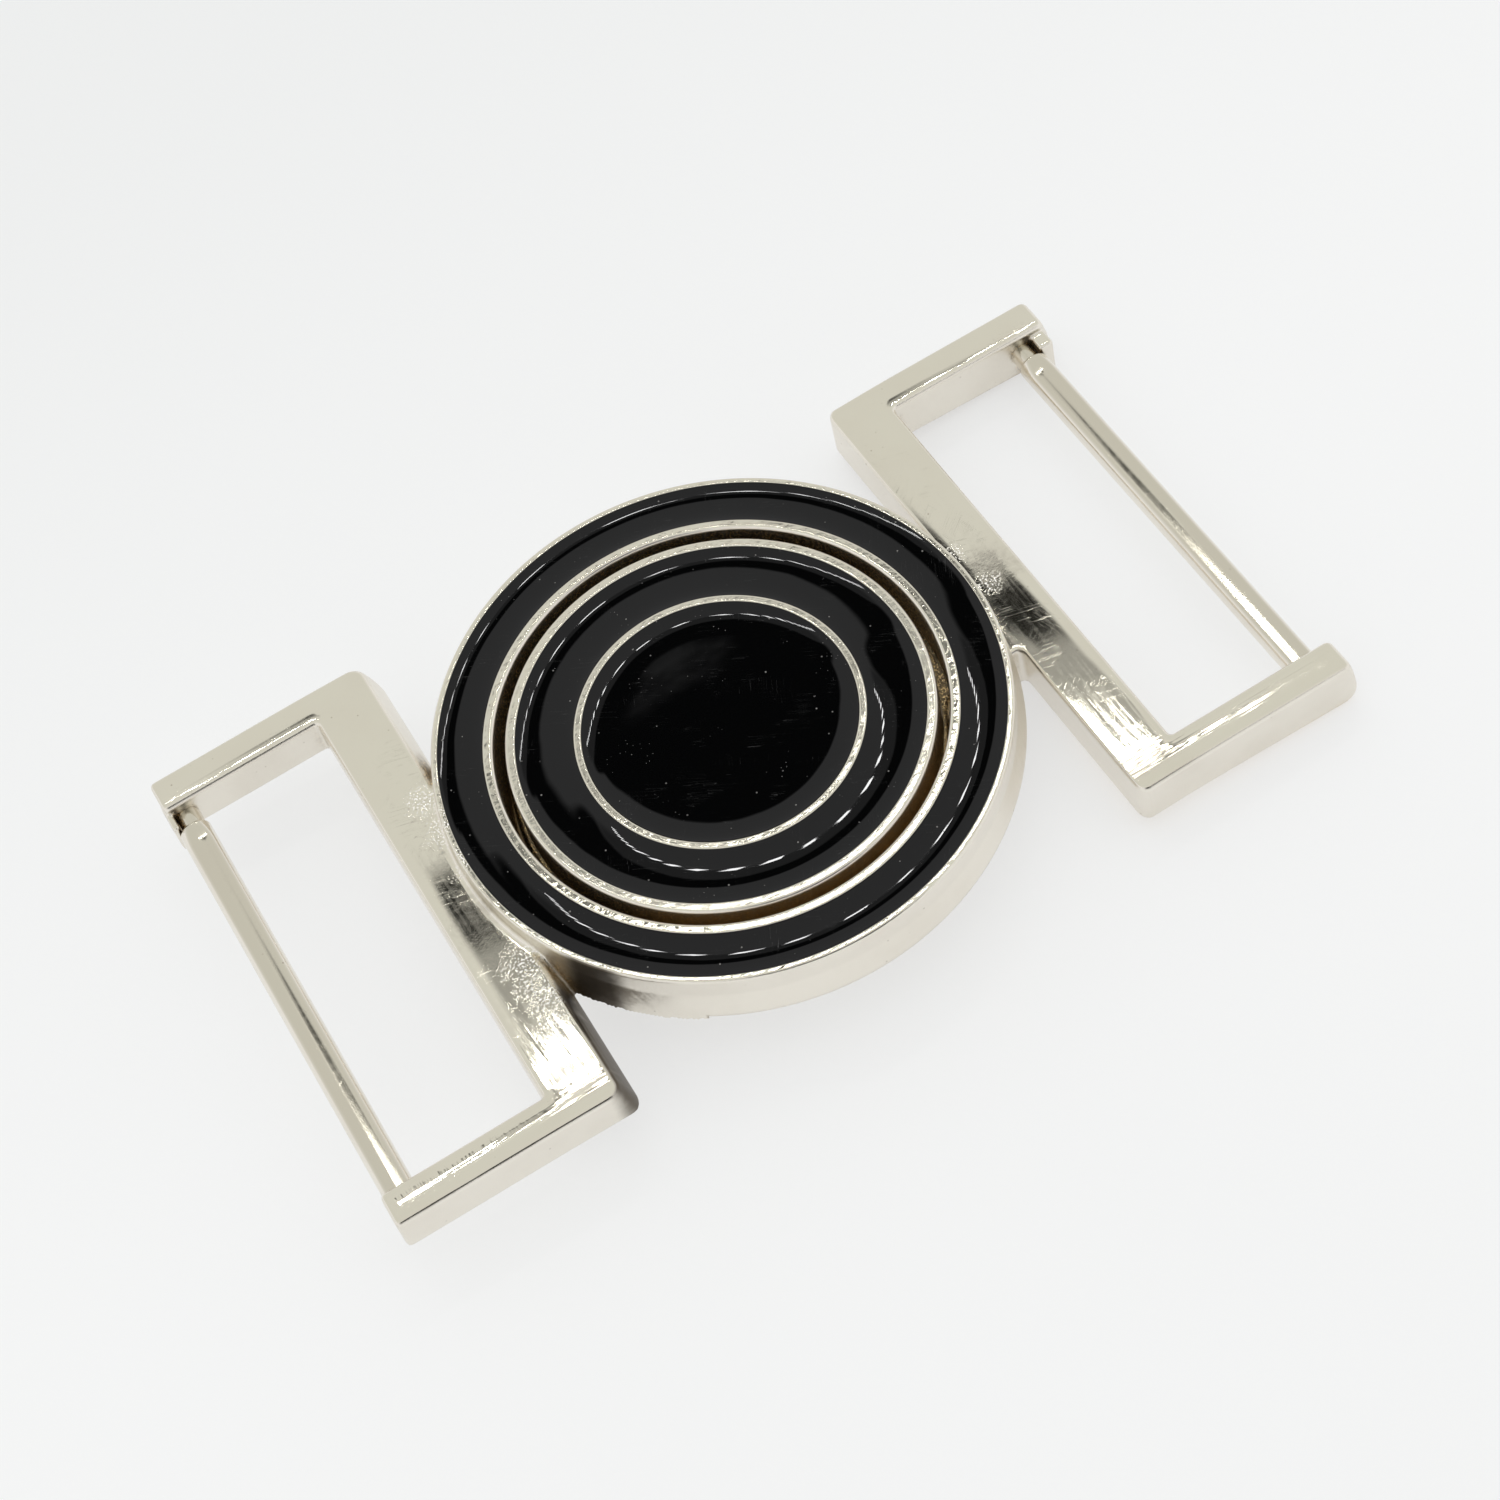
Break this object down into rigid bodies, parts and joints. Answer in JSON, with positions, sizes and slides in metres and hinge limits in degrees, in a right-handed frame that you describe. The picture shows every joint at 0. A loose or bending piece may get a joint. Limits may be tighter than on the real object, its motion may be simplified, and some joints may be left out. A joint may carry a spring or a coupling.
{
  "type": "interlocking belt buckle",
  "caption": "Interlocking round metal belt buckle: a ring half drops over a disc half with black enamel bands, and each strap frame holds webbing on a crossbar.",
  "frame": {"origin": "on the disc's axis, at the back face that lies against the wearer", "axes": "+X along the belt from the disc towards the disc half's strap frame, +Y across the belt, +Z out through the enamelled face"},
  "size_m": [0.0869, 0.0479, 0.0103],
  "materials": {
    "nickel": "warm polished nickel plate on cast zinc",
    "enamel": "glossy black epoxy enamel"
  },
  "bodies": {
    "disc_side": {"disc_half": "nickel", "right_crossbar": "nickel"},
    "turning_disc": {"centre_disc": "nickel", "disc_rivet": "nickel", "band_enamel": "enamel", "centre_enamel": "enamel"},
    "ring_side": {"ring_half": "nickel", "ring_enamel": "enamel", "left_crossbar": "nickel"}
  },
  "joints": [
    {"name": "swivel", "type": "hinge", "parent": "disc_side", "child": "turning_disc", "pos_m": [0, 0, 0], "axis": [0, 0, 1], "range_deg": [-0.4, 4.5]},
    {"name": "unclip", "type": "slide", "parent": "turning_disc", "child": "ring_side", "axis": [0, 0, 1], "range_m": [0, 0.012]}
  ]
}
